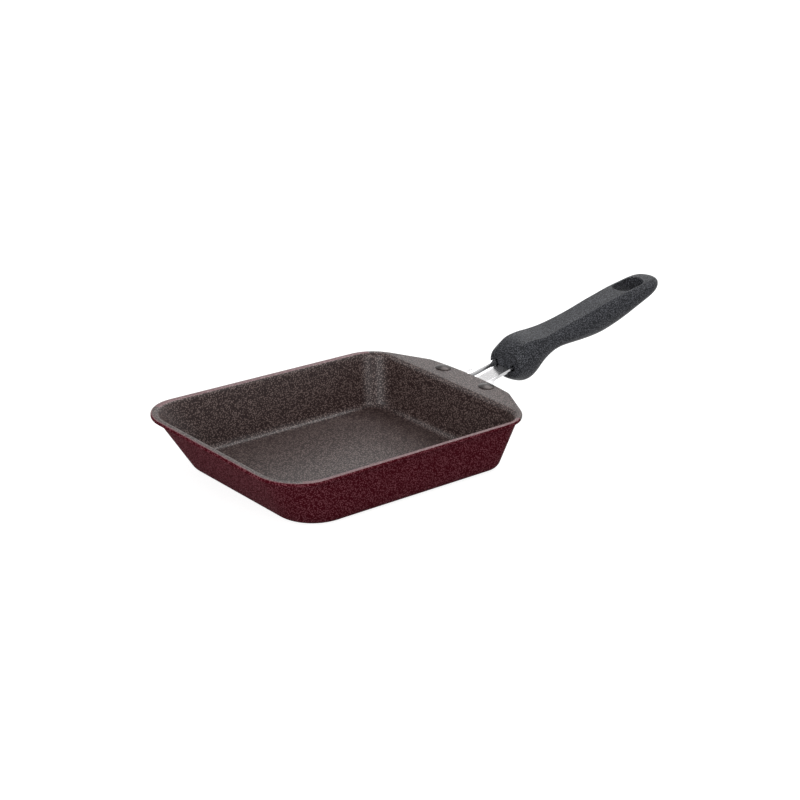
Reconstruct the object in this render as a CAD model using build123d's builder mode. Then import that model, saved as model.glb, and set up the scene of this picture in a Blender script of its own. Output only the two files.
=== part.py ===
"""Tamagoyaki pan: a pressed rectangular pan with a riveted steel bracket and a moulded grip.

Millimetres. The pan rests on the plane Z = 0 with the middle of its lip's rectangle over
the origin. The handle runs out along +X, and the pan opens towards +Z.
"""

import os
from math import atan2, cos, radians, sin, tan

from build123d import *

# Pan shell
pan_length = 190.0  # over the lip, without the flange
pan_width = 140.0  # over the lip
pan_height = 34.6
sheet = 2.0  # aluminium sheet
lip_overhang = 1.8  # lip beyond the outside of the wall
lip_corner_radius = 26.0
lip_edge_radius = 0.9
lip_root_radius = 1.4  # from the lip down into the cavity
far_draft = 22.6  # the far wall leans in by this over the height
side_draft = 9.5
near_draft = 4.5
near_setback = 6.8  # outside of the near wall, in from the end of the lip's rectangle
far_corner_radius = 26.0  # upright corners, outside
near_corner_radius = 16.6
base_radius = 6.5  # rounding between the walls and the base, outside

# Flange for the handle
flange_reach = 12.2  # past the end of the lip's rectangle, at the middle
flange_bow = 2.5  # how far the outer edge bows out
flange_half_width = 34.6
flange_slant = 30.0  # degrees, slanted edges from the width direction
flange_corner_radius = 8.0

# Rivets
rivet_offset = 5.2  # past the end of the lip's rectangle
rivet_pitch = 38.0
shank_diameter = 5.0
shank_clearance = 0.05
head_diameter = 9.8
head_height = 1.5
head_rim = 0.35
set_head_diameter = 8.4
set_head_height = 1.8
set_head_edge = 0.6

# Bracket
bracket_sheet = 1.3
bracket_gap = 3.0  # between the bracket and the outside of the pan's wall
wing_half_width = 27.0
wing_corner_radius = 6.5
wing_margin = 6.0  # of the wings past the rivets' line, towards the handle
trough_depth = 2.8  # from the wings down to the channel's floor
floor_half_width = 6.0
trough_half_width = 7.4  # at the top, inside
bend_radius = 1.6  # inside of the sheet's bends
channel_half_width = 8.5  # outside
flare_half_width = 18.0  # where the flare leaves the wings
flare_root_radius = 2.5
flare_length = 12.3  # from the wings to where the flare's line meets the channel's side
flare_radius = 12.0
upturn_offset = 11.3  # from the rivets' line to where the floor starts to rise
upturn_radius = 30.0
channel_tilt = 12.0  # degrees
channel_hold = 5.7  # of the channel inside the grip, along the tilt
tang_half_width = 5.2
tang_neck_radius = 1.4
tang_end_radius = 3.0
tang_hold = 20.9  # from the grip's front to the tang's end, along the tilt

# Bolt, washers and nut
bolt_hold = 12.9  # from the grip's front to the bolt's line, along the tilt
bolt_diameter = 5.0
bolt_head_diameter = 9.5
bolt_head_height = 3.3
bolt_head_radius = 1.3
bolt_end = 0.3  # past the nut
bolt_end_chamfer = 0.5
nut_flats = 8.0
nut_height = 2.7
recess_length = 5.2
recess_width = 1.3
recess_depth = 2.0
washer_diameter = 10.0
washer_thickness = 1.0
washer_bore = 5.3
spring_diameter = 9.2
spring_thickness = 1.3
spring_gap = 0.8

# Grip
grip_offset = 23.0  # from the start of the floor's rise to the grip
grip_length = 133.5  # along the pan's length
grip_lift = 6.65  # of its middle line at the front, over the channel's level floor
grip_tilt = 13.2  # degrees, rise of the middle line
grip_depth = 26.0  # through the finger guard
grip_width = 28.6  # across the finger guard
grip_crown = 0.5  # of the flat top
front_edge_radius = 2.0
tail_edge_radius = 1.2
fit_clearance = 0.25  # round the tang in its pocket
bolt_bore = 5.5
bolt_seat = 3.0  # of the grip between the tang and the washer
bolt_well_diameter = 11.2
slot_tail = 10.5  # from the grip's tail to the hanging slot
slot_length = 22.0
slot_width = 13.0
slot_radius = 6.0
slot_edge = 0.8
overrun = 1.0  # of cutting tools past the surface

# Grip stations: share of the length, then shares of the depth above and below the
# middle line, of the width across the flat top and across the widest place, and of the
# depth for how far the widest place lies below the middle line
grip_station_shares = [
    (0.000, 0.330, 0.320, 0.520, 0.880, 0.02),
    (0.030, 0.430, 0.450, 0.560, 0.965, 0.03),
    (0.070, 0.465, 0.565, 0.590, 0.995, 0.05),
    (0.110, 0.445, 0.580, 0.610, 1.000, 0.06),
    (0.145, 0.410, 0.465, 0.640, 0.965, 0.03),
    (0.180, 0.370, 0.315, 0.640, 0.920, 0.00),
    (0.220, 0.340, 0.230, 0.600, 0.875, -0.02),
    (0.270, 0.315, 0.195, 0.550, 0.840, -0.03),
    (0.340, 0.300, 0.240, 0.510, 0.825, 0.00),
    (0.430, 0.290, 0.345, 0.500, 0.840, 0.05),
    (0.520, 0.295, 0.430, 0.505, 0.875, 0.08),
    (0.610, 0.300, 0.460, 0.520, 0.905, 0.09),
    (0.700, 0.295, 0.415, 0.540, 0.920, 0.07),
    (0.790, 0.275, 0.320, 0.550, 0.915, 0.04),
    (0.870, 0.250, 0.245, 0.540, 0.880, 0.01),
    (0.930, 0.220, 0.195, 0.500, 0.790, 0.00),
    (0.970, 0.175, 0.155, 0.410, 0.630, 0.00),
    (1.000, 0.110, 0.100, 0.260, 0.390, 0.00),
]
shoulder_share = 0.35  # how far the upper side bulges, of the way to the widest place
side_share = 0.55  # length of the upright tangent at the widest place, of the side
belly_share = 0.62  # how square the belly is

# Derived sizes of the pan
lip_half_length = pan_length / 2
lip_half_width = pan_width / 2
flange_underside = pan_height - sheet
far_wall_x = -lip_half_length + lip_overhang
near_wall_x = lip_half_length - near_setback
side_wall_y = lip_half_width - lip_overhang
far_lean = atan2(far_draft, pan_height)
near_lean = atan2(near_draft, pan_height)
side_lean = atan2(side_draft, pan_height)
slant = radians(flange_slant)
# the slanted edge touches the lip's corner arc where the arc has turned to the slant
touch_x = lip_half_length - lip_corner_radius * (1 - cos(slant))
touch_y = lip_half_width - lip_corner_radius * (1 - sin(slant))
slant_end_x = touch_x + (touch_y - flange_half_width) * tan(slant)
flange_tip_x = lip_half_length + flange_reach
rivet_x = lip_half_length + rivet_offset
rivet_half_pitch = rivet_pitch / 2
rivet_hole_radius = shank_diameter / 2 + shank_clearance

# Derived sizes of the bracket, whose channel's floor rises along the tilt line
tilt = radians(channel_tilt)
channel_floor_z = flange_underside - trough_depth
wing_underside = flange_underside - bracket_sheet
bracket_start_x = near_wall_x + bracket_gap
wing_end_x = rivet_x + wing_margin
flare_end_x = wing_end_x + flare_length
upturn_x = rivet_x + upturn_offset
upturn_corner_x = upturn_x + upturn_radius * tan(tilt / 2)
tilt_start = Vector(upturn_x + upturn_radius * sin(tilt), 0,
                    channel_floor_z + upturn_radius * (1 - cos(tilt)))
tilt_along = Vector(cos(tilt), 0, sin(tilt))
tilt_up = Vector(-sin(tilt), 0, cos(tilt))
outer_bend_radius = bend_radius + bracket_sheet
wall_angle = atan2(trough_depth, trough_half_width - floor_half_width)
bend_offset = bracket_sheet * tan(wall_angle / 2)

# Derived sizes of the grip and its bolt, with distances along the tilt from the upturn's end
grip_front = upturn_x + grip_offset
grip_front_z = channel_floor_z + grip_lift
front_distance = (grip_front - tilt_start.X) / cos(tilt)
channel_length = front_distance + channel_hold
tang_length = front_distance + tang_hold
bolt_distance = front_distance + bolt_hold
pocket_floor = -bracket_sheet - fit_clearance  # heights above the channel's floor
seat_height = pocket_floor - bolt_seat
spring_face = seat_height - washer_thickness
head_face = spring_face - spring_thickness
bolt_tip = nut_height + bolt_end
channel_roof = trough_depth + fit_clearance
tongue_foot = floor_half_width - bend_radius / 2  # the grip reaches between the channel's walls
tongue_top = trough_half_width - bend_radius / 2
slot_end = front_distance + grip_length / cos(tilt) - slot_tail
slot_start = slot_end - slot_length


def rounded_rectangle(far_x, near_x, half_width, far_radius, near_radius):
    """Draw a rectangle with its own corner radius at each end, as a closed outline."""
    FilletPolyline(
        (far_x, -half_width),
        (near_x, -half_width),
        (near_x, half_width),
        (far_x, half_width),
        radius=[far_radius, near_radius, near_radius, far_radius],
        close=True,
    )


def walled_block(inset, low, high, rounding):
    """Return the space inside the walls as a block, set in square to each wall from its outside."""
    with BuildPart() as block:
        with BuildSketch(Plane.XZ):
            with BuildLine():
                far_line = far_wall_x + far_draft + inset / cos(far_lean)
                near_line = near_wall_x - near_draft - inset / cos(near_lean)
                Polyline(
                    (far_line - low * tan(far_lean), low),
                    (near_line + low * tan(near_lean), low),
                    (near_line + high * tan(near_lean), high),
                    (far_line - high * tan(far_lean), high),
                    close=True,
                )
            make_face()
        extrude(amount=lip_half_width, both=True)
        with BuildSketch(Plane.YZ):
            with BuildLine():
                side_line = side_wall_y - side_draft - inset / cos(side_lean)
                Polyline(
                    (-side_line - low * tan(side_lean), low),
                    (side_line + low * tan(side_lean), low),
                    (side_line + high * tan(side_lean), high),
                    (-side_line - high * tan(side_lean), high),
                    close=True,
                )
            make_face()
        extrude(amount=lip_half_length, both=True, mode=Mode.INTERSECT)
        level_edges = block.faces().filter_by(Axis.Z).edges()
        uprights = (block.edges() - level_edges).sort_by(Axis.X)
        fillet(uprights[:2], far_corner_radius - inset)
        fillet((block.edges() - level_edges).sort_by(Axis.X)[-2:], near_corner_radius - inset)
        fillet(block.faces().filter_by(Axis.Z).sort_by(Axis.Z)[0].edges(), rounding)
    return block.part


def across_tilt(distance):
    """Return the plane square to the tilt line, local Y upwards from the channel's floor."""
    return Plane(origin=tilt_start + tilt_along * distance, x_dir=(0, 1, 0), z_dir=tilt_along)


def across_bolt(height):
    """Return the plane square to the bolt's line, at a height above the channel's floor."""
    return Plane(origin=tilt_start + tilt_along * bolt_distance + tilt_up * height,
                 x_dir=tilt_along, z_dir=tilt_up)


# Pan body
outside = walled_block(0, 0, pan_height, base_radius)
cavity = walled_block(sheet, sheet, pan_height + overrun, base_radius - sheet)
with BuildPart() as pan_body:
    add(outside)
    # lip, with the flange at the handle's end
    with BuildSketch(Plane.XY.offset(flange_underside)) as lip_sketch:
        with BuildLine():
            rounded_rectangle(-lip_half_length, lip_half_length, lip_half_width,
                              lip_corner_radius, lip_corner_radius)
        make_face()
        with BuildLine():
            slants = Polyline((slant_end_x, flange_half_width), (touch_x, touch_y),
                              (touch_x, -touch_y), (slant_end_x, -flange_half_width))
            ThreePointArc(slants @ 1, (flange_tip_x, 0), slants @ 0)
        make_face()
        fillet(lip_sketch.vertices().group_by(Axis.X)[-1], flange_corner_radius)
    extrude(amount=sheet)
    fillet(pan_body.faces().sort_by(Axis.Z)[-1].edges(), lip_edge_radius)
    add(cavity, mode=Mode.SUBTRACT)
    mouth_edges = pan_body.faces().filter_by(Axis.Z).sort_by(Axis.Z)[-1].inner_wires()[0].edges()
    fillet(mouth_edges, lip_root_radius)
    with Locations((rivet_x, rivet_half_pitch), (rivet_x, -rivet_half_pitch)):
        Hole(radius=rivet_hole_radius)
pan_body.part.label = "pan_body"

# Bracket: a hat section swept along its upturned floor and trimmed to its outline
with BuildPart() as handle_bracket:
    with BuildSketch(Plane.YZ.offset(bracket_start_x)):
        with BuildLine():
            FilletPolyline(
                (-wing_half_width, flange_underside),
                (-trough_half_width, flange_underside),
                (-floor_half_width, channel_floor_z),
                (floor_half_width, channel_floor_z),
                (trough_half_width, flange_underside),
                (wing_half_width, flange_underside),
                (wing_half_width, wing_underside),
                (trough_half_width + bend_offset, wing_underside),
                (floor_half_width + bend_offset, channel_floor_z - bracket_sheet),
                (-floor_half_width - bend_offset, channel_floor_z - bracket_sheet),
                (-trough_half_width - bend_offset, wing_underside),
                (-wing_half_width, wing_underside),
                radius=[0, outer_bend_radius, bend_radius, bend_radius, outer_bend_radius, 0,
                        0, bend_radius, outer_bend_radius, outer_bend_radius, bend_radius, 0],
                close=True,
            )
        make_face()
    floor_length = tang_length + overrun + upturn_radius * tan(tilt / 2)
    with BuildLine(Plane.XZ) as floor_path:
        FilletPolyline(
            (bracket_start_x, channel_floor_z),
            (upturn_corner_x, channel_floor_z),
            (upturn_corner_x + floor_length * cos(tilt), channel_floor_z + floor_length * sin(tilt)),
            radius=upturn_radius,
        )
    sweep(path=floor_path.wire())
    neck_x = tilt_start.X + channel_length * cos(tilt)
    tang_cut_x = tilt_start.X + tang_length * cos(tilt)
    with BuildSketch(Plane.XY):
        with BuildLine():
            FilletPolyline(
                (bracket_start_x, -wing_half_width),
                (wing_end_x, -wing_half_width),
                (wing_end_x, -flare_half_width),
                (flare_end_x, -channel_half_width),
                (neck_x, -channel_half_width),
                (neck_x, -tang_half_width),
                (tang_cut_x, -tang_half_width),
                (tang_cut_x, tang_half_width),
                (neck_x, tang_half_width),
                (neck_x, channel_half_width),
                (flare_end_x, channel_half_width),
                (wing_end_x, flare_half_width),
                (wing_end_x, wing_half_width),
                (bracket_start_x, wing_half_width),
                radius=[wing_corner_radius, wing_corner_radius, flare_root_radius, flare_radius,
                        tang_neck_radius, tang_neck_radius, tang_end_radius, tang_end_radius,
                        tang_neck_radius, tang_neck_radius, flare_radius, flare_root_radius,
                        wing_corner_radius, wing_corner_radius],
                close=True,
            )
        make_face()
    extrude(amount=grip_front_z + grip_length, mode=Mode.INTERSECT)
    with BuildSketch(across_bolt(-bracket_sheet - overrun)):
        Circle(bolt_diameter / 2 + shank_clearance)
    extrude(amount=bracket_sheet + overrun * 2, mode=Mode.SUBTRACT)
    with Locations((rivet_x, rivet_half_pitch), (rivet_x, -rivet_half_pitch)):
        Hole(radius=rivet_hole_radius)
handle_bracket.part.label = "handle_bracket"


# Rivets
def make_rivet(name, y):
    """Return a domed rivet, set against the underside of the bracket's wing."""
    shank = shank_diameter / 2
    head = head_diameter / 2
    set_head = set_head_diameter / 2
    set_bottom = wing_underside - set_head_height
    with BuildPart() as rivet:
        with BuildSketch(Plane(origin=(rivet_x, y, 0), x_dir=(1, 0, 0), z_dir=(0, -1, 0))):
            with BuildLine():
                Polyline(
                    (0, pan_height + head_height),
                    (0, set_bottom),
                    (set_head - set_head_edge, set_bottom),
                    (set_head, set_bottom + set_head_edge),
                    (set_head, wing_underside),
                    (shank, wing_underside),
                    (shank, pan_height),
                    (head, pan_height),
                    (head, pan_height + head_rim),
                )
                TangentArc((0, pan_height + head_height), (head, pan_height + head_rim),
                           tangent=(1, 0))
            make_face()
        revolve(axis=Axis((rivet_x, y, 0), (0, 0, 1)))
    rivet.part.label = name
    return rivet.part


rivets = [
    make_rivet("rivet_left", rivet_half_pitch),
    make_rivet("rivet_right", -rivet_half_pitch),
]

# Bolt, put in from below, with a cross recess in its head
with BuildPart() as handle_bolt:
    with BuildSketch(across_bolt(head_face - bolt_head_height)):
        Circle(bolt_head_diameter / 2)
    extrude(amount=bolt_head_height)
    fillet(handle_bolt.faces().sort_by(Axis.Z)[0].edges(), bolt_head_radius)
    with BuildSketch(across_bolt(head_face)):
        Circle(bolt_diameter / 2)
    extrude(amount=bolt_tip - head_face)
    chamfer(handle_bolt.faces().sort_by(Axis.Z)[-1].edges(), bolt_end_chamfer)
    with BuildSketch(across_bolt(head_face - bolt_head_height)):
        Rectangle(recess_length, recess_width)
        Rectangle(recess_width, recess_length)
    extrude(amount=recess_depth, mode=Mode.SUBTRACT)
handle_bolt.part.label = "handle_bolt"

with BuildPart() as flat_washer:
    with BuildSketch(across_bolt(spring_face)):
        Circle(washer_diameter / 2)
        Circle(washer_bore / 2, mode=Mode.SUBTRACT)
    extrude(amount=washer_thickness)
flat_washer.part.label = "flat_washer"

with BuildPart() as spring_washer:
    with BuildSketch(across_bolt(head_face)):
        Circle(spring_diameter / 2)
        Circle(washer_bore / 2, mode=Mode.SUBTRACT)
        with Locations((0, spring_diameter / 2)):
            Rectangle(spring_gap, spring_diameter, mode=Mode.SUBTRACT)
    extrude(amount=spring_thickness)
spring_washer.part.label = "spring_washer"

# Thin nut, moulded into the grip over the tang so that the bolt can be turned from below
with BuildPart() as handle_nut:
    with BuildSketch(across_bolt(0)):
        RegularPolygon(nut_flats / 2, 6, major_radius=False)
        Circle(bolt_diameter / 2 + shank_clearance, mode=Mode.SUBTRACT)
    extrude(amount=nut_height)
handle_nut.part.label = "handle_nut"

# Grip
with BuildPart() as handle_grip:
    for along, above, below, facet, width, drop in grip_station_shares:
        run = grip_length * along
        middle = grip_front_z + run * tan(radians(grip_tilt))
        top = middle + grip_depth * above
        bottom = middle - grip_depth * below
        widest = middle - grip_depth * drop
        edge = grip_width * facet / 2
        side = grip_width * width / 2
        with BuildSketch(Plane.YZ.offset(grip_front + run)):
            with BuildLine():
                ThreePointArc((-edge, top - grip_crown), (0, top), (edge, top - grip_crown))
                for sign in (1, -1):
                    Bezier(
                        (sign * edge, top - grip_crown),
                        (sign * (edge + (side - edge) * shoulder_share),
                         top - grip_crown - (top - widest) * (1 - side_share) / 2),
                        (sign * side, widest + (top - widest) * side_share),
                        (sign * side, widest),
                    )
                    Bezier(
                        (sign * side, widest),
                        (sign * side, widest - (widest - bottom) * belly_share),
                        (sign * side * belly_share, bottom),
                        (0, bottom),
                    )
            make_face()
    loft()
    fillet(handle_grip.faces().sort_by(Axis.X)[0].edges(), front_edge_radius)
    fillet(handle_grip.faces().sort_by(Axis.X)[-1].edges(), tail_edge_radius)
    # pocket for the channel's end and for the tang
    pocket_start = front_distance - grip_depth / 2
    pocket_half_width = channel_half_width + fit_clearance
    pocket_foot = floor_half_width + bend_offset + fit_clearance
    with BuildSketch(across_tilt(pocket_start)):
        with BuildLine():
            Polyline(
                (-pocket_half_width, channel_roof),
                (-pocket_half_width, 0),
                (-pocket_foot, pocket_floor),
                (pocket_foot, pocket_floor),
                (pocket_half_width, 0),
                (pocket_half_width, channel_roof),
                (tongue_top, channel_roof),
                (tongue_foot, fit_clearance),
                (-tongue_foot, fit_clearance),
                (-tongue_top, channel_roof),
                close=True,
            )
        make_face()
    extrude(amount=channel_length + tang_neck_radius + fit_clearance - pocket_start,
            mode=Mode.SUBTRACT)
    with BuildSketch(across_tilt(pocket_start)):
        with Locations((0, pocket_floor)):
            Rectangle((tang_half_width + fit_clearance) * 2, fit_clearance - pocket_floor,
                      align=(Align.CENTER, Align.MIN))
    extrude(amount=tang_length + fit_clearance * 2 - pocket_start, mode=Mode.SUBTRACT)
    # the nut's place, and the bolt's hole and its well, open below
    with BuildSketch(across_bolt(0)):
        RegularPolygon(nut_flats / 2 + shank_clearance, 6, major_radius=False)
    extrude(amount=bolt_tip + fit_clearance, mode=Mode.SUBTRACT)
    with BuildSketch(across_bolt(pocket_floor + fit_clearance)):
        Circle(bolt_bore / 2)
    extrude(amount=-bolt_seat - overrun, mode=Mode.SUBTRACT)
    with BuildSketch(across_bolt(seat_height)):
        Circle(bolt_well_diameter / 2)
    extrude(amount=-grip_depth, mode=Mode.SUBTRACT)
    # hanging slot
    with BuildSketch(Plane(origin=tilt_start, x_dir=tilt_along, z_dir=tilt_up)):
        with BuildLine():
            rounded_rectangle(slot_start, slot_end, slot_width / 2, slot_radius, slot_radius)
        make_face()
    extrude(amount=grip_depth, both=True, mode=Mode.SUBTRACT)
    cut_edges = handle_grip.edges(Select.LAST)
    fillet(cut_edges - cut_edges.filter_by(Axis((0, 0, 0), tilt_up)), slot_edge)
handle_grip.part.label = "handle_grip"

os.makedirs("parts", exist_ok=True)
for piece in [pan_body.part, handle_bracket.part, handle_bolt.part, flat_washer.part,
              spring_washer.part, handle_nut.part, handle_grip.part] + rivets:
    export_step(piece, f"parts/{piece.label}.step")
    print(piece.label, "volume", round(piece.volume))
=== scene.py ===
"""A tamagoyaki pan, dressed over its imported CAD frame.

Metres, in the frame of the CAD: the base rests on z = 0, the handle runs out along +X.
The pressed shell is a new surface over its CAD node; the bracket, the rivets, the grip and
the fastener keep their CAD shapes and get their own finishes.
"""

import logging
from dataclasses import dataclass
from enum import IntEnum
from typing import ClassVar

import bpy
import numpy as np
from mathutils import Matrix, Vector

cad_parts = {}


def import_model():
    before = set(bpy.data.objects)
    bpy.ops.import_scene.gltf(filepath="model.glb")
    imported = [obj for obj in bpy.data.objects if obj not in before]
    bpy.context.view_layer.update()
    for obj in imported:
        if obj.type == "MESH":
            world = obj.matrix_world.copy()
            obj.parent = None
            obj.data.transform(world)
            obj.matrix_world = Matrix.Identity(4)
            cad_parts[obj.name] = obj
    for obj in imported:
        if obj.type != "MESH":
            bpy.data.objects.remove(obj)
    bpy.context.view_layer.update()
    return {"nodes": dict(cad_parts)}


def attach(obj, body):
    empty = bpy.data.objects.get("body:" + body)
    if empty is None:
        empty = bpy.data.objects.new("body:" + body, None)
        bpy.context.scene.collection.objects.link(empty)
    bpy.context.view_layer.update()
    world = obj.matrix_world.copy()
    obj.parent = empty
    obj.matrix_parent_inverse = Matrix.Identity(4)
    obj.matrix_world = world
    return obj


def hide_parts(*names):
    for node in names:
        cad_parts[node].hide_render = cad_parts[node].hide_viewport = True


log = logging.getLogger("pan")

MM = 0.001
"""One millimetre in metres."""

SHARE, FIRST, SECOND, MIXED = 0, 6, 7, 2
"""Sockets of a colour mix: its share, its two colours and its result."""


def linear(hex_colour: str) -> tuple[float, float, float, float]:
    """Turn an sRGB hex value into a linear colour, by the standard's own formula.

    Args:
        hex_colour: Six hex digits, with or without a leading hash.

    Returns:
        Red, green, blue and an alpha of one.
    """
    digits = hex_colour.lstrip("#")
    srgb = np.array([int(digits[i:i + 2], 16) for i in (0, 2, 4)]) / 255
    low, high = srgb / 12.92, ((srgb + 0.055) / 1.055) ** 2.4
    return (*(float(v) for v in np.where(srgb <= 0.04045, low, high)), 1.0)


def heading(turn: np.ndarray) -> np.ndarray:
    """Give the unit rows of x and y that point along angles in radians."""
    return np.c_[np.cos(turn), np.sin(turn)]


def add_node(tree: bpy.types.NodeTree, kind: str, settings: dict | None = None,
             links: dict | None = None) -> bpy.types.Node:
    """Add one shader node, set it and link its inputs.

    Args:
        tree: The node tree that the node joins.
        kind: The node's type, such as ShaderNodeTexNoise.
        settings: Attribute names, or input names or numbers, to their values.
        links: Input names or numbers to the output sockets that feed them.

    Returns:
        The new node.
    """
    node = tree.nodes.new(kind)
    for key, value in (settings or {}).items():
        if isinstance(key, str) and key in node.bl_rna.properties:
            setattr(node, key, value)
        else:
            node.inputs[key].default_value = value
    for key, socket in (links or {}).items():
        tree.links.new(socket, node.inputs[key])
    return node


class Side(IntEnum):
    """The faces of the coated sheet and its rim with a painted highlight, as numbers of
    material slots.
    """

    INSIDE = 0
    OUTSIDE = 1
    RIM = 2


@dataclass(frozen=True)
class Stipple:
    """Fine light specks over a darker ground, as sprayed coats and spark-eroded moulds have.

    The specks of the real coats are about 0.3 mm wide; they are drawn about a pixel wide,
    so that they show. The dot's shares say how far from its middle a speck is full and how
    far out it has faded, as shares of the distance between specks.
    """

    apart_mm: float = 0.95
    strength: float = 0.75
    dot_shares: tuple[float, float] = (0.24, 0.5)

    def mask(self, tree: bpy.types.NodeTree, place: bpy.types.NodeSocket
             ) -> bpy.types.NodeSocket:
        """Make a mask of the specks: the middles of the cells of one scattered pattern.

        Args:
            tree: The material's node tree.
            place: The coordinates that the pattern follows.

        Returns:
            The mask, from nought to the strength.
        """
        full, gone = self.dot_shares
        cells = add_node(tree, "ShaderNodeTexVoronoi", {"Scale": 1 / (self.apart_mm * MM)},
                         {"Vector": place})
        dots = add_node(tree, "ShaderNodeMapRange",
                        {"From Min": full, "From Max": gone,
                         "To Min": self.strength, "To Max": 0.0},
                        {"Value": cells.outputs["Distance"]})
        return dots.outputs["Result"]


@dataclass(frozen=True)
class Grain:
    """The small unevenness of a surface, as soft noise that tilts it.

    The real unevenness is too fine to show, so it is drawn coarser, about a pixel wide.
    """

    size_mm: float
    depth_mm: float
    strength: float
    detail: float = 2.0

    def relief(self, tree: bpy.types.NodeTree, place: bpy.types.NodeSocket
               ) -> tuple[bpy.types.NodeSocket, bpy.types.NodeSocket]:
        """Make the noise and tilt the surface by it.

        Args:
            tree: The material's node tree.
            place: The coordinates that the noise follows.

        Returns:
            The noise, from nought to one, and the tilted normal.
        """
        noise = add_node(tree, "ShaderNodeTexNoise",
                         {"Scale": 1 / (self.size_mm * MM), "Detail": self.detail},
                         {"Vector": place})
        bump = add_node(tree, "ShaderNodeBump",
                        {"Strength": self.strength, "Distance": self.depth_mm * MM},
                        {"Height": noise.outputs["Fac"]})
        return noise.outputs["Fac"], bump.outputs["Normal"]


@dataclass(frozen=True)
class SpeckledSkin:
    """What the coats and the moulding share: a ground, light specks and a fine grain.

    The gloss shares, where a skin has them, are the parts of its specular level at a mask
    of nought and of one.
    """

    name: str
    base: str
    fleck: str
    roughness: float
    specular: float
    specks: Stipple
    grain: Grain
    gloss_shares: tuple[float, float] | None = None

    def ground(self, tree: bpy.types.NodeTree, place: bpy.types.NodeSocket
               ) -> bpy.types.NodeSocket | None:
        """Make the colour under the specks.

        Args:
            tree: The material's node tree.
            place: The object's coordinates.

        Returns:
            The colour, or nothing where the base colour does by itself.
        """
        return None

    def material(self) -> bpy.types.Material:
        """Build the skin's material.

        Returns:
            The material.
        """
        mat = bpy.data.materials.new(self.name)
        mat.use_nodes = True
        tree = mat.node_tree
        shader = tree.nodes["Principled BSDF"]
        place = add_node(tree, "ShaderNodeTexCoord").outputs["Object"]
        mask = self.specks.mask(tree, place)
        colour = add_node(tree, "ShaderNodeMix", {"data_type": "RGBA",
                                                  FIRST: linear(self.base),
                                                  SECOND: linear(self.fleck)}, {SHARE: mask})
        ground = self.ground(tree, place)
        if ground is not None:
            tree.links.new(ground, colour.inputs[FIRST])
        _, tilt = self.grain.relief(tree, place)
        tree.links.new(colour.outputs[MIXED], shader.inputs["Base Color"])
        tree.links.new(tilt, shader.inputs["Normal"])
        shader.inputs["Roughness"].default_value = self.roughness
        shader.inputs["Specular IOR Level"].default_value = self.specular
        if self.gloss_shares:
            low, high = (self.specular * share for share in self.gloss_shares)
            gloss = add_node(tree, "ShaderNodeMapRange", {"To Min": low, "To Max": high},
                             {"Value": mask})
            tree.links.new(gloss.outputs["Result"], shader.inputs["Specular IOR Level"])
        return mat


@dataclass(frozen=True)
class NonStickCoat(SpeckledSkin):
    """PTFE non-stick coating, sprayed and baked on blasted aluminium.

    It gives a brown-grey satin skin with fine light specks that catch the light, and a soft
    gloss that shows as a pale band where the sheet bends.
    """

    name: str = "nonstick_coat"
    base: str = "#271817"
    fleck: str = "#7c6a65"
    roughness: float = 0.4
    specular: float = 0.37
    specks: Stipple = Stipple()
    grain: Grain = Grain(0.7, 0.15, 0.12)
    gloss_shares: tuple[float, float] | None = (0.8, 1.7)
    shade: str = "#211413"
    cloud_mm: float = 40.0
    cloud_detail: float = 3.0

    def ground(self, tree: bpy.types.NodeTree, place: bpy.types.NodeSocket
               ) -> bpy.types.NodeSocket:
        """Make the ground: two near tones in wide, soft clouds.

        Args:
            tree: The material's node tree.
            place: The object's coordinates.

        Returns:
            The colour.
        """
        cloud = add_node(tree, "ShaderNodeTexNoise",
                         {"Scale": 1 / (self.cloud_mm * MM), "Detail": self.cloud_detail},
                         {"Vector": place})
        tone = add_node(tree, "ShaderNodeMix", {"data_type": "RGBA",
                                                FIRST: linear(self.base),
                                                SECOND: linear(self.shade)},
                        {SHARE: cloud.outputs["Fac"]})
        return tone.outputs[MIXED]


@dataclass(frozen=True)
class BakedEnamel(SpeckledSkin):
    """Heat-proof silicone enamel, sprayed and baked on the outside.

    It gives a deep maroon with a dull sheen and fine specks, and painted shade makes it darker
    towards the base.
    """

    name: str = "baked_enamel"
    base: str = "#3f0b14"
    fleck: str = "#855058"
    roughness: float = 0.5
    specular: float = 0.003
    specks: Stipple = Stipple()
    grain: Grain = Grain(0.9, 0.1, 0.08)
    # the foot's tone is painted shade, darker towards the base
    foot: str = "#3a0a12"
    foot_shade_mm: float = 12.0

    def ground(self, tree: bpy.types.NodeTree, place: bpy.types.NodeSocket
               ) -> bpy.types.NodeSocket:
        """Make the ground: painted shade in the foot's darker tone at the base, which gives way
        to the base tone.

        Args:
            tree: The material's node tree.
            place: The object's coordinates.

        Returns:
            The colour.
        """
        height = add_node(tree, "ShaderNodeSeparateXYZ", links={0: place}).outputs["Z"]
        # painted shade, darkest at the base and fading out as the wall rises
        foot_shade = add_node(tree, "ShaderNodeMapRange",
                        {"From Min": 0.0, "From Max": self.foot_shade_mm * MM,
                         "interpolation_type": "SMOOTHSTEP"}, {"Value": height})
        tone = add_node(tree, "ShaderNodeMix", {"data_type": "RGBA",
                                                FIRST: linear(self.foot),
                                                SECOND: linear(self.base)},
                        {SHARE: foot_shade.outputs["Result"]})
        return tone.outputs[MIXED]


@dataclass(frozen=True)
class MouldedPhenolic(SpeckledSkin):
    """Phenolic resin moulding from a spark-eroded mould.

    It gives a near-black surface with a fine grey grain, and a soft sheen on its flats.
    """

    name: str = "moulded_phenolic"
    base: str = "#1c1d20"
    fleck: str = "#696a70"
    roughness: float = 0.45
    specular: float = 0.11
    specks: Stipple = Stipple(0.7)
    grain: Grain = Grain(0.8, 0.12, 0.35, 3.0)


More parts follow.
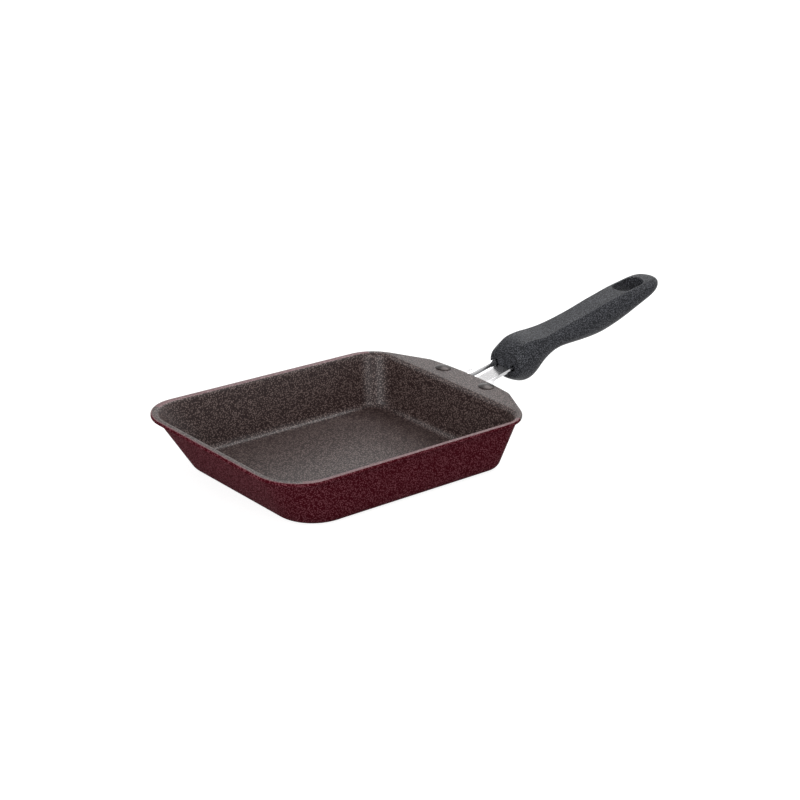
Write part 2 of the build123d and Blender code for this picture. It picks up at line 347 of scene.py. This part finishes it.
@dataclass(frozen=True)
class BareMetal:
    """Bare metal, such as polished stainless steel, satin aluminium or zinc plating.

    It gives reflections in the metal's own tone, which the roughness softens. Fine lines
    from the polishing wheel, drawn coarser than they are, run along X, where they are only
    long_share as dense as across. The rough shares are the least and the most that the
    lines make of the roughness.
    """

    name: str
    base: str
    roughness: float
    lines: Grain = Grain(0.35, 0.05, 0.05, 3.0)
    long_share: float = 0.04
    rough_shares: tuple[float, float] = (0.8, 1.25)

    def material(self) -> bpy.types.Material:
        """Build the metal's material.

        Returns:
            The material.
        """
        mat = bpy.data.materials.new(self.name)
        mat.use_nodes = True
        tree = mat.node_tree
        shader = tree.nodes["Principled BSDF"]
        place = add_node(tree, "ShaderNodeTexCoord").outputs["Object"]
        drawn = add_node(tree, "ShaderNodeMapping", {"Scale": (self.long_share, 1.0, 1.0)},
                         {"Vector": place})
        lines, tilt = self.lines.relief(tree, drawn.outputs["Vector"])
        low, high = (self.roughness * share for share in self.rough_shares)
        rough = add_node(tree, "ShaderNodeMapRange", {"To Min": low, "To Max": high},
                         {"Value": lines})
        tree.links.new(rough.outputs["Result"], shader.inputs["Roughness"])
        tree.links.new(tilt, shader.inputs["Normal"])
        shader.inputs["Base Color"].default_value = linear(self.base)
        shader.inputs["Metallic"].default_value = 1.0
        return mat


@dataclass(frozen=True)
class PolishedPressing(BareMetal):
    """Stainless pressing, polished on a wheel.

    Its inner bends and the outsides of its channel are darkened with painted shade. Both places
    are told by the distance from the middle plane: bend_mm holds a bend's start, middle and
    end, and outside_mm the distances between which a wall that faces away grows darker.
    """

    # the darker tone is painted shade in the inner bends and on the outsides of the channel
    painted_shade: str = "#7f8082"
    bend_mm: tuple[float, float, float] = (5.0, 6.3, 7.15)
    outside_mm: tuple[float, float] = (3.5, 7.5)
    outside_share: float = 0.38

    def material(self) -> bpy.types.Material:
        """Build the metal's material with painted shade in its bends and on its outsides.

        Returns:
            The material.
        """
        mat = super().material()
        tree = mat.node_tree
        place = add_node(tree, "ShaderNodeTexCoord").outputs["Object"]
        across = add_node(tree, "ShaderNodeSeparateXYZ", links={0: place}).outputs["Y"]
        face = add_node(tree, "ShaderNodeNewGeometry").outputs["Normal"]
        facing = add_node(tree, "ShaderNodeSeparateXYZ", links={0: face}).outputs["Y"]
        # painted shade: the darker tone wherever either mark is
        mask = add_node(tree, "ShaderNodeMath", {"operation": "MAXIMUM"},
                        {0: self.bend(tree, across), 1: self.outside(tree, across, facing)})
        tone = add_node(tree, "ShaderNodeMix", {"data_type": "RGBA",
                                                FIRST: linear(self.base),
                                                SECOND: linear(self.painted_shade)},
                        {SHARE: mask.outputs["Value"]})
        tree.links.new(tone.outputs[MIXED], tree.nodes["Principled BSDF"].inputs["Base Color"])
        return mat

    def bend(self, tree: bpy.types.NodeTree, across: bpy.types.NodeSocket
             ) -> bpy.types.NodeSocket:
        """Mark the inner bends for painted shade: a band on each side, full in its middle.

        Args:
            tree: The material's node tree.
            across: The place across the pressing.

        Returns:
            The mark, from nought to one.
        """
        start, middle, end = (v * MM for v in self.bend_mm)
        out = add_node(tree, "ShaderNodeMath", {"operation": "ABSOLUTE"}, {0: across})
        rise = add_node(tree, "ShaderNodeMapRange", {"From Min": start, "From Max": middle},
                        {"Value": out.outputs["Value"]})
        fall = add_node(tree, "ShaderNodeMapRange",
                        {"From Min": middle, "From Max": end, "To Min": 1.0, "To Max": 0.0},
                        {"Value": out.outputs["Value"]})
        band = add_node(tree, "ShaderNodeMath", {"operation": "MULTIPLY"},
                        {0: rise.outputs["Result"], 1: fall.outputs["Result"]})
        return band.outputs["Value"]

    def outside(self, tree: bpy.types.NodeTree, across: bpy.types.NodeSocket,
                facing: bpy.types.NodeSocket) -> bpy.types.NodeSocket:
        """Mark the outsides for painted shade: the more, the further out and the squarer a wall
        faces away.

        Args:
            tree: The material's node tree.
            across: The place across the pressing.
            facing: The part of the surface's direction that points across.

        Returns:
            The mark, from nought to the outside's share.
        """
        near, far = (v * MM for v in self.outside_mm)
        away = add_node(tree, "ShaderNodeMath", {"operation": "MULTIPLY"},
                        {0: across, 1: facing})
        mark = add_node(tree, "ShaderNodeMapRange",
                        {"From Min": near, "From Max": far, "To Max": self.outside_share},
                        {"Value": away.outputs["Value"]})
        return mark.outputs["Result"]


@dataclass(frozen=True)
class PressedShell:
    """The pan itself: one pressed sheet with drafted walls, a lip and a flange.

    Lengths are millimetres and angles degrees, as on the drawing. The near end is the
    handle's. A wall's draft is how far it leans out from the base to the lip. The near wall
    stands back from the lip's end by its setback, and the others by the lip's overhang. The
    lip's upper edge is rounded to lip_edge, and its lower one to lip_burr.
    """

    length: float = 190.0
    width: float = 140.0
    height: float = 34.6
    sheet: float = 2.0
    far_draft: float = 22.6
    side_draft: float = 9.5
    near_draft: float = 4.5
    near_setback: float = 6.8
    far_corner: float = 26.0
    near_corner: float = 16.6
    foot_radius: float = 6.5
    mouth_radius: float = 3.0
    lip_overhang: float = 1.8
    lip_corner: float = 26.0
    lip_edge: float = 0.9
    lip_burr: float = 0.35
    flange_reach: float = 12.2
    flange_half: float = 34.6
    flange_slant: float = 30.0
    flange_corner: float = 8.0
    floor_middle: tuple[float, float] = (4.0, 0.0)
    highlight_share: float = 0.5
    # The share of the mouth's bend, from the lip, that carries the rim's painted highlight.
    """The share of the mouth's bend, from the lip, that has the rim's tint."""
    highlight_end: float = 60.0
    # The plan direction, from the long axis, at which the rim's painted highlight ends.
    """The plan direction, from the long axis, at which the rim's tint ends."""
    enamel_start: float = 37.0
    """The turn of the lip's rounded edge at which the outside's enamel starts."""

    quarters: ClassVar[tuple[tuple[str, int, tuple[int, int]], ...]] = (
        ("near", 0, (1, 1)), ("side", 90, (-1, 1)),
        ("far", 180, (-1, -1)), ("side", 270, (1, -1)))
    """Each straight run, then the first direction and the signs of the corner after it."""
    ring_counts: ClassVar[dict[str, int]] = {"near": 170, "side": 64, "far": 56, "corner": 30}
    """How many points each stretch of a ring has."""
    outline_counts: ClassVar[dict[str, int]] = {"bow": 60, "knuckle": 40, "run": 60,
                                                "corner": 80, "end": 30}
    """How many points each stretch of the lip's outline has."""
    band_counts: ClassVar[dict[str, int]] = {"bend": 12, "inside": 12, "outside": 16,
                                             "edge": 8, "burr": 5}
    """How many steps the section has round its bends and edges and up its walls."""
    floor_shares: ClassVar[tuple[float, ...]] = (0.2, 0.4, 0.6, 0.8, 0.93, 0.99)
    lip_shares: ClassVar[tuple[float, ...]] = (0.15, 0.4, 0.7, 0.9)
    under_shares: ClassVar[tuple[float, ...]] = (0.1, 0.5, 0.9)
    finishes: ClassVar[dict[Side, SpeckledSkin]] = {
        Side.INSIDE: NonStickCoat(),
        Side.OUTSIDE: BakedEnamel(),
        # the rim's lighter pink coat is a painted highlight along the lip
        Side.RIM: NonStickCoat(base="#684447", shade="#5c3b3e", fleck="#806265"),
    }

    def corner(self, way: tuple[int, int], turns: np.ndarray, height: float,
               inset: float) -> np.ndarray:
        """Trace one of the walls' corners at a height, set in from the outside.

        The corner is a round bar along the leaning edge where two walls would meet, with
        its axis one radius in from both. A point lies out from the axis along the bar's own
        normal and back along the lean to its level, so the level section is part of an
        ellipse.

        Args:
            way: The signs of x and y on the corner's side of the pan.
            turns: The plan directions that the corner faces at its points, in degrees.
            height: Height above the base.
            inset: Distance from the outside of the walls, square to them.

        Returns:
            Points as rows of x and y.
        """
        near = way[0] > 0
        end = self.length / 2 - (self.near_setback if near else self.lip_overhang)
        draft = self.near_draft if near else self.far_draft
        radius = self.near_corner if near else self.far_corner
        slope = np.array([draft, self.side_draft]) / self.height
        top = np.array([end, self.width / 2 - self.lip_overhang])
        axis = (top - slope * (self.height - height) - radius * np.hypot(1, slope)) * way
        facing = heading(np.radians(turns))
        lean = slope * way
        rise = (facing @ lean)[:, None]
        return axis + (radius - inset) * (facing + rise * lean) / np.hypot(1, rise)

    def ring(self, height: float, inset: float) -> np.ndarray:
        """Trace the walls' outline at a height, set in from their outside.

        Four corners and the straight runs between them. Each wall leans out in proportion
        to the height, and the set-in is square to the wall.

        Args:
            height: Height above the base.
            inset: Distance from the outside of the walls, square to them.

        Returns:
            Points as rows of x and y, anticlockwise from the near right corner.
        """
        sweep = np.linspace(0, 90, self.ring_counts["corner"] + 1)
        corners = [self.corner(way, start + sweep, height, inset)
                   for _, start, way in self.quarters]
        points = []
        for quarter, (run, _, _) in enumerate(self.quarters):
            before, after = corners[quarter - 1], corners[quarter]
            share = np.linspace(0, 1, self.ring_counts[run], endpoint=False)[:, None]
            points += [before[-1] * (1 - share) + after[0] * share, after[:-1]]
        return np.concatenate(points)

    def normals(self) -> np.ndarray:
        """Give the outward direction of each point of a ring.

        It is constant along a straight run and turns evenly round a corner.

        Returns:
            Unit rows of x and y.
        """
        sweep = np.linspace(0, 90, self.ring_counts["corner"], endpoint=False)
        turns = [np.r_[np.full(self.ring_counts[run], float(start)), start + sweep]
                 for run, start, _ in self.quarters]
        return heading(np.radians(np.concatenate(turns)))

    def outline(self) -> tuple[np.ndarray, np.ndarray]:
        """Trace the lip's outline with the flange, densely.

        Half of it is a chain of arcs and lines, each tangent to the next: the bowed end, the
        flange's corner, the slanted edge, the near corner, the side, the far corner and half
        of the far end. The other half is its mirror image.

        Returns:
            Points and outward unit normals, as rows of x and y, anticlockwise.
        """
        slant = np.radians(self.flange_slant)
        square = np.pi / 2
        across, along = heading(slant)[0], heading(slant + square)[0]
        end, half, corner = self.length / 2, self.width / 2, self.lip_corner
        near = np.array([end - corner, half - corner])
        far = np.array([corner - end, half - corner])
        touch = near + corner * across

        # the bow is a circle through the flange's tip and the ends of the slanted edges
        tip = end + self.flange_reach
        sag = tip - (touch[0] + (touch[1] - self.flange_half) * np.tan(slant))
        bow = (self.flange_half ** 2 + sag ** 2) / (2 * sag)
        centre = np.array([tip - bow, 0.0])

        # the flange's corner touches the bow from inside and the slanted edge: its centre is
        # one radius in from the edge, and the bow's radius less its own from the bow's
        # centre, so its way along the edge solves a quadratic
        small = self.flange_corner
        base = touch - across * small
        ahead = (base - centre) @ along
        excess = (base - centre) @ (base - centre) - (bow - small) ** 2
        knuckle = base - (ahead + np.sqrt(ahead ** 2 - excess)) * along
        knuckle_turn = np.arctan2(*(knuckle - centre)[::-1])

        def arc(middle: np.ndarray, radius: float, start: float, stop: float,
                count: int) -> tuple[np.ndarray, np.ndarray]:
            """Trace an arc, without its last point: its points and their directions."""
            turn = np.linspace(start, stop, count, endpoint=False)
            return middle + radius * heading(turn), turn

        def line(start: np.ndarray, stop: np.ndarray, turn: float, count: int,
                 last: bool = False) -> tuple[np.ndarray, np.ndarray]:
            """Trace a line that faces one way: its points and their directions."""
            share = np.linspace(0, 1, count, endpoint=last)[:, None]
            return start * (1 - share) + stop * share, np.full(count, turn)

        counts = self.outline_counts
        chain = (
            arc(centre, bow, 0.0, knuckle_turn, counts["bow"]),
            arc(knuckle, small, knuckle_turn, slant, counts["knuckle"]),
            line(knuckle + small * across, touch, slant, counts["run"]),
            arc(near, corner, slant, square, counts["corner"]),
            line(near + (0.0, corner), far + (0.0, corner), square, counts["run"]),
            arc(far, corner, square, np.pi, counts["corner"]),
            line(far - (corner, 0.0), np.array([-end, 0.0]), np.pi, counts["end"], last=True),
        )
        points = np.concatenate([p for p, _ in chain])
        normal = heading(np.concatenate([turn for _, turn in chain]))
        flip = np.array([1, -1])
        points = np.concatenate([points, points[-2:0:-1] * flip])
        normal = np.concatenate([normal, normal[-2:0:-1] * flip])
        return points, normal

    def cast(self, origins: np.ndarray, ways: np.ndarray) -> tuple[np.ndarray, np.ndarray]:
        """Carry points out to the lip's outline along their own directions.

        Each ray meets the chord between two neighbouring points of the outline, where the
        cross products of the ray, the chord and the gap between their starts say; the place
        and the normal are blended between the two points.

        Args:
            origins: Points inside the outline, as rows.
            ways: Their directions, as unit rows.

        Returns:
            The points on the outline and its normals there, as rows.
        """
        def cross(a: np.ndarray, b: np.ndarray) -> np.ndarray:
            """Give the cross product of flat vectors."""
            return a[..., 0] * b[..., 1] - a[..., 1] * b[..., 0]

        least, slack = 1e-9, 1e-6
        points, normal = self.outline()
        after = np.roll(points, -1, axis=0)
        edge = (after - points)[None]
        gap = points[None] - origins[:, None]
        steep = cross(ways[:, None], edge)
        steep = np.where(np.abs(steep) < least, least, steep)
        reach = cross(gap, edge) / steep
        share = cross(gap, ways[:, None]) / steep
        good = (reach > 0) & (share >= -slack) & (share <= 1 + slack)
        pick = np.argmax(good, axis=1)
        blend = np.clip(share[np.arange(len(origins)), pick], 0, 1)[:, None]
        hit = points[pick] * (1 - blend) + after[pick] * blend
        bent = normal[pick] * (1 - blend) + np.roll(normal, -1, axis=0)[pick] * blend
        return hit, bent / np.linalg.norm(bent, axis=1, keepdims=True)

    def lean(self, inset: float) -> tuple[np.ndarray, np.ndarray]:
        """Work out how far the walls lean from upright at each point of a ring.

        It is the ring's drift from the base to the lip, along its own normal, over the
        height.

        Args:
            inset: Distance from the outside of the walls, square to them.

        Returns:
            The lean's tangent and its angle.
        """
        drift = (self.ring(self.height, inset) - self.ring(0, inset)) / self.height
        tangent = (drift * self.normals()).sum(1)
        return tangent, np.arctan(tangent)

    def wall_point(self, z: np.ndarray | float, inset: float) -> np.ndarray:
        """Find the points of the walls at heights of their own.

        Each lies on the straight line between the rings at the base and at the lip.

        Args:
            z: One height for the whole ring, or one for each point.
            inset: Distance from the outside of the walls, square to them.

        Returns:
            Points as rows of x and y.
        """
        low, high = self.ring(0, inset), self.ring(self.height, inset)
        share = (np.broadcast_to(z, len(low)) / self.height)[:, None]
        return low * (1 - share) + high * share

    def rows(self) -> tuple[list[np.ndarray], list[np.ndarray]]:
        """Work out the rings from the middle of the floor round the lip to the base.

        Along each ring's own normal the section is a chain: floor, quarter-round, leaning
        wall, rounded mouth, flat lip, rounded edge, underside, leaning wall, quarter-round,
        base. A bend of radius r between a level and a wall at an angle d from upright ends
        r * (1 - sin d) from the level, and its centre is that over cos d from the place
        where the wall would meet the level.

        Returns:
            Rings as rows of x, y and z, and for the band after each ring the numbers of the
            sides that its faces belong to.
        """
        normal = self.normals()
        inner, outer, under = self.sheet, 0.0, self.height - self.sheet
        middle = np.array(self.floor_middle)
        rings: list[np.ndarray] = []
        sides: list[np.ndarray] = []

        def put(flat: np.ndarray, z: np.ndarray | float, side: Side | np.ndarray) -> None:
            """Keep one ring, and the sides that the band after it belongs to."""
            rings.append(np.c_[flat, np.broadcast_to(z, len(flat))])
            sides.append(np.broadcast_to(side, len(flat)))

        def bend(level: float, radius: float, inset: float, way: int, order: np.ndarray,
                 side: Side | np.ndarray) -> None:
            """Put the rings of the bend between a level and a wall.

            Args:
                level: The height of the level.
                radius: The bend's radius.
                inset: The wall's distance from the outside, square to it.
                way: 1 for a wall above the level and -1 for one below it.
                order: Shares of the bend, from nought at the level to one at the wall.
                side: The side of the sheet, for the whole ring or for each point.
            """
            tangent, lean = self.lean(inset)
            centre = -way * radius * (1 - np.sin(lean)) / np.cos(lean)
            for share in order:
                turn = (np.pi / 2 - lean) * share - way * np.pi / 2
                z = level + radius * (way + np.sin(turn))
                shift = centre + radius * np.cos(turn) - tangent * (z - level)
                put(self.wall_point(z, inset) + normal * shift[:, None], z, side)

        def wall(low: np.ndarray, high: np.ndarray | float, inset: float, order: np.ndarray,
                 side: Side) -> None:
            """Put the rings of a leaning wall between two heights.

            Args:
                low: The lower height at each point.
                high: The upper height, for the whole ring or at each point.
                inset: The wall's distance from the outside, square to it.
                order: Shares of the way from the lower height to the upper one.
                side: The side of the sheet.
            """
            for share in order:
                z = low * (1 - share) + high * share
                put(self.wall_point(z, inset), z, side)

        # the flat lip carries a painted highlight, a lighter pink coat, along the long sides
        # only, and the rounded edge keeps the inner coat round the flange and elsewhere has the
        # painted highlight above and the enamel below
        lengthwise = normal[:, 0] / np.cos(np.radians(self.highlight_end))
        top_side = np.where(np.abs(lengthwise) > 1, Side.INSIDE, Side.RIM)
        edge_side = np.where(lengthwise > 1, Side.INSIDE, Side.RIM)
        low_side = np.where(lengthwise > 1, Side.INSIDE, Side.OUTSIDE)

        # the floor, its bend and the inside of the walls
        arc = np.linspace(0, 1, self.band_counts["bend"])
        inner_radius = self.foot_radius - self.sheet
        _, lean = self.lean(inner)
        foot = inner_radius * (1 - np.sin(lean))
        start = self.wall_point(self.sheet, inner) - normal * (foot / np.cos(lean))[:, None]
        for share in self.floor_shares:
            put(middle + (start - middle) * share, self.sheet, Side.INSIDE)
        bend(self.sheet, inner_radius, inner, 1, arc, Side.INSIDE)
        wall(self.sheet + foot, self.height - self.mouth_radius * (1 - np.sin(lean)), inner,
             np.linspace(0, 1, self.band_counts["inside"])[1:-1], Side.INSIDE)

        # the mouth's bend and the flat lip; the bend's part next to the lip carries the painted
        # highlight
        highlighted = arc < self.highlight_share
        bend(self.height, self.mouth_radius, inner, -1, arc[~highlighted][::-1], Side.INSIDE)
        bend(self.height, self.mouth_radius, inner, -1, arc[highlighted][::-1], top_side)
        mouth = rings[-1][:, :2]
        hit, out = self.cast(mouth, normal)
        for share in self.lip_shares:
            put(mouth + (hit - out * self.lip_edge - mouth) * share, self.height, top_side)

        # the lip's rounded edge and the burr below it
        for turn in np.linspace(0, np.pi / 2, self.band_counts["edge"]):
            put(hit - out * self.lip_edge * (1 - np.sin(turn)),
                self.height - self.lip_edge * (1 - np.cos(turn)),
                edge_side if turn < np.radians(self.enamel_start) else low_side)
        for turn in np.linspace(0, np.pi / 2, self.band_counts["burr"]):
            put(hit - out * self.lip_burr * (1 - np.cos(turn)),
                under + self.lip_burr * (1 - np.sin(turn)), Side.OUTSIDE)

        # the lip's underside, the outside of the walls, its bend and the base
        _, lean = self.lean(outer)
        rim, top = rings[-1][:, :2], self.wall_point(under, outer)
        for share in self.under_shares:
            put(rim + (top - rim) * share, under, Side.OUTSIDE)
        wall(self.foot_radius * (1 - np.sin(lean)), under, outer,
             np.linspace(1, 0, self.band_counts["outside"])[:-1], Side.OUTSIDE)
        bend(0.0, self.foot_radius, outer, 1, arc[::-1], Side.OUTSIDE)
        start = rings[-1][:, :2]
        for share in self.floor_shares[::-1]:
            put(middle + (start - middle) * share, 0.0, Side.OUTSIDE)
        return rings, sides

    def build(self) -> bpy.types.Object:
        """Make the shell's mesh from its rings and dress it.

        Each band between two rings is a row of four-sided faces, and one many-sided face
        closes the middle of the floor and of the base.

        Returns:
            The shell's object, in place.
        """
        rings, sides = self.rows()
        across = len(rings[0])
        points = np.concatenate(rings) * MM
        row, column = np.meshgrid(np.arange(len(rings) - 1), np.arange(across), indexing="ij")
        here, there = row * across + column, row * across + (column + 1) % across
        quads = np.stack([here + across, there + across, there, here], axis=-1).reshape(-1, 4)
        floor_cap = np.arange(across)
        base_cap = (len(rings) - 1) * across + floor_cap[::-1]
        mesh = bpy.data.meshes.new("shell")
        mesh.from_pydata(points.tolist(), [],
                         quads.tolist() + [floor_cap.tolist(), base_cap.tolist()])
        slots = np.concatenate(sides[:-1] + [[Side.INSIDE, Side.OUTSIDE]])
        mesh.polygons.foreach_set("material_index", slots.astype(np.int32))
        mesh.polygons.foreach_set("use_smooth", np.ones(len(slots), dtype=bool))
        for side in Side:
            mesh.materials.append(self.finishes[side].material())
        mesh.update()
        shell = bpy.data.objects.new("shell", mesh)
        bpy.context.scene.collection.objects.link(shell)
        return shell


@dataclass(frozen=True)
class Handle:
    """The bracket, the rivets, the grip and the fastener, which keep their CAD shapes.

    Polished steel gives the bracket bright, clear reflections, satin aluminium gives the
    rivets a darker and softer sheen, and zinc plate gives the fastener a pale, even grey.
    """

    bracket: BareMetal = PolishedPressing("polished_steel", "#d2d1d2", 0.18,
                                          Grain(0.35, 0.05, 0.02, 3.0))
    rivets: BareMetal = BareMetal("satin_aluminium", "#3b3736", 0.3)
    fastener: BareMetal = BareMetal("zinc_plate", "#c4c6ca", 0.3)
    grip: SpeckledSkin = MouldedPhenolic()

    def dress(self, nodes: dict[str, bpy.types.Object]) -> None:
        """Give each of the handle's CAD nodes its finish.

        Args:
            nodes: The CAD nodes by name.
        """
        for finish, names in (
                (self.bracket, ("handle_bracket",)),
                (self.rivets, ("rivet_left", "rivet_right")),
                (self.fastener, ("handle_bolt", "flat_washer", "spring_washer", "handle_nut")),
                (self.grip, ("handle_grip",))):
            material = finish.material()
            for name in names:
                nodes[name].data.materials.clear()
                nodes[name].data.materials.append(material)
                log.info("dressed %s", name)


@dataclass(frozen=True)
class Camera:
    """The photograph's camera, fitted to the pan's rim, walls and rivets."""

    eye: tuple[float, float, float] = (-0.666387, -0.758176, 0.442879)
    right: tuple[float, float, float] = (0.74229, -0.66758, 0.05784)
    up: tuple[float, float, float] = (0.20628, 0.30979, 0.92816)
    back: tuple[float, float, float] = (-0.63754, -0.67703, 0.36766)
    lens: float = 85.024
    sensor: float = 36.0
    nearest: float = 0.05

    def build(self) -> None:
        """Place the camera and make it the scene's."""
        data = bpy.data.cameras.new("camera")
        data.lens = self.lens
        data.sensor_width = self.sensor
        data.clip_start = self.nearest
        camera = bpy.data.objects.new("camera", data)
        axes = Matrix((self.right, self.up, self.back)).transposed()
        camera.matrix_world = Matrix.Translation(self.eye) @ axes.to_4x4()
        bpy.context.scene.collection.objects.link(camera)
        bpy.context.scene.camera = camera


@dataclass(frozen=True)
class Lamp:
    """One soft box of the studio."""

    name: str
    place: tuple[float, float, float]
    size: tuple[float, float]
    watts: float
    aim: tuple[float, float, float] = (0.0, 0.0, 0.02)

    def build(self) -> None:
        """Hang the lamp and turn it to its aim."""
        data = bpy.data.lights.new(self.name, "AREA")
        data.shape = "RECTANGLE"
        data.size, data.size_y = self.size
        data.energy = self.watts
        lamp = bpy.data.objects.new(self.name, data)
        lamp.location = self.place
        lamp.rotation_euler = (Vector(self.aim) - Vector(self.place)).to_track_quat(
            "-Z", "Y").to_euler()
        bpy.context.scene.collection.objects.link(lamp)


@dataclass(frozen=True)
class Studio:
    """A plain white floor, soft boxes and an even white surround."""

    surround: float = 0.42
    glow: float = 0.84
    floor_reach: float = 3.0
    paper: str = "#a0a0a0"
    paper_roughness: float = 0.9
    lamps: tuple[Lamp, ...] = (
        Lamp("overhead", (0.72, 0.25, 1.0), (0.8, 0.6), 6.5, (0.2, 0.0, 0.05)),
        Lamp("front_left", (-1.2, -0.4, 0.5), (0.8, 0.6), 9.0),
        Lamp("front_right", (-0.2, -1.3, 0.4), (0.7, 0.45), 3.6),
        Lamp("high_front", (0.0, -0.85, 0.95), (0.5, 0.5), 2.3),
        Lamp("back_left", (-0.55, 1.0, 0.95), (0.7, 0.4), 1.3),
        Lamp("back_key", (0.84, 0.82, 0.45), (0.5, 0.24), 0.25, (0.05, 0.0, 0.03)),
    )

    def build(self) -> None:
        """Set the surround, the floor and the lamps.

        The surround lights the object dimly and looks white itself.
        """
        scene = bpy.context.scene
        scene.view_settings.view_transform = "Standard"
        world = bpy.data.worlds.new("surround")
        scene.world = world
        world.use_nodes = True
        tree = world.node_tree
        tree.nodes.clear()
        white = (1.0, 1.0, 1.0, 1.0)
        dim = add_node(tree, "ShaderNodeBackground", {"Color": white,
                                                      "Strength": self.surround})
        bright = add_node(tree, "ShaderNodeBackground", {"Color": white, "Strength": 1.0})
        mix = add_node(tree, "ShaderNodeMixShader", {},
                       {0: self.seen(tree), 1: dim.outputs[0], 2: bright.outputs[0]})
        add_node(tree, "ShaderNodeOutputWorld", {}, {0: mix.outputs[0]})
        self.floor()
        for lamp in self.lamps:
            lamp.build()

    @staticmethod
    def seen(tree: bpy.types.NodeTree) -> bpy.types.NodeSocket:
        """Tell the rays of the camera and of mirror and glass from all others.

        Args:
            tree: The node tree that asks.

        Returns:
            One for those three kinds of ray and nought for others.
        """
        path = add_node(tree, "ShaderNodeLightPath")
        mirror = add_node(tree, "ShaderNodeMath", {"operation": "MAXIMUM"},
                          {0: path.outputs["Is Glossy Ray"],
                           1: path.outputs["Is Transmission Ray"]})
        both = add_node(tree, "ShaderNodeMath", {"operation": "MAXIMUM"},
                        {0: path.outputs["Is Camera Ray"], 1: mirror.outputs["Value"]})
        return both.outputs["Value"]

    def floor(self) -> None:
        """Lay the plain white floor: paper that the camera sees with a soft glow of its own."""
        mesh = bpy.data.meshes.new("floor")
        reach = self.floor_reach
        mesh.from_pydata([(-reach, -reach, 0), (reach, -reach, 0), (reach, reach, 0),
                          (-reach, reach, 0)], [], [(0, 1, 2, 3)])
        mat = bpy.data.materials.new("white_paper")
        mat.use_nodes = True
        tree = mat.node_tree
        shader = tree.nodes["Principled BSDF"]
        shader.inputs["Base Color"].default_value = linear(self.paper)
        shader.inputs["Roughness"].default_value = self.paper_roughness
        seen = add_node(tree, "ShaderNodeMath", {"operation": "MULTIPLY", 1: self.glow},
                        {0: self.seen(tree)})
        glow = add_node(tree, "ShaderNodeEmission", {}, {"Strength": seen.outputs["Value"]})
        both = add_node(tree, "ShaderNodeAddShader", {}, {0: shader.outputs[0],
                                                          1: glow.outputs[0]})
        tree.links.new(both.outputs[0], tree.nodes["Material Output"].inputs["Surface"])
        mesh.materials.append(mat)
        floor = bpy.data.objects.new("floor", mesh)
        bpy.context.scene.collection.objects.link(floor)


def main() -> None:
    """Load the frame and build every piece."""
    logging.basicConfig(level=logging.INFO, format="%(message)s")
    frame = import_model()
    Camera().build()
    Studio().build()

    shell = PressedShell().build()
    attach(shell, "root")
    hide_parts("pan_body")
    log.info("built %s", shell.name)

    Handle().dress(frame["nodes"])


if __name__ == "__main__":
    main()
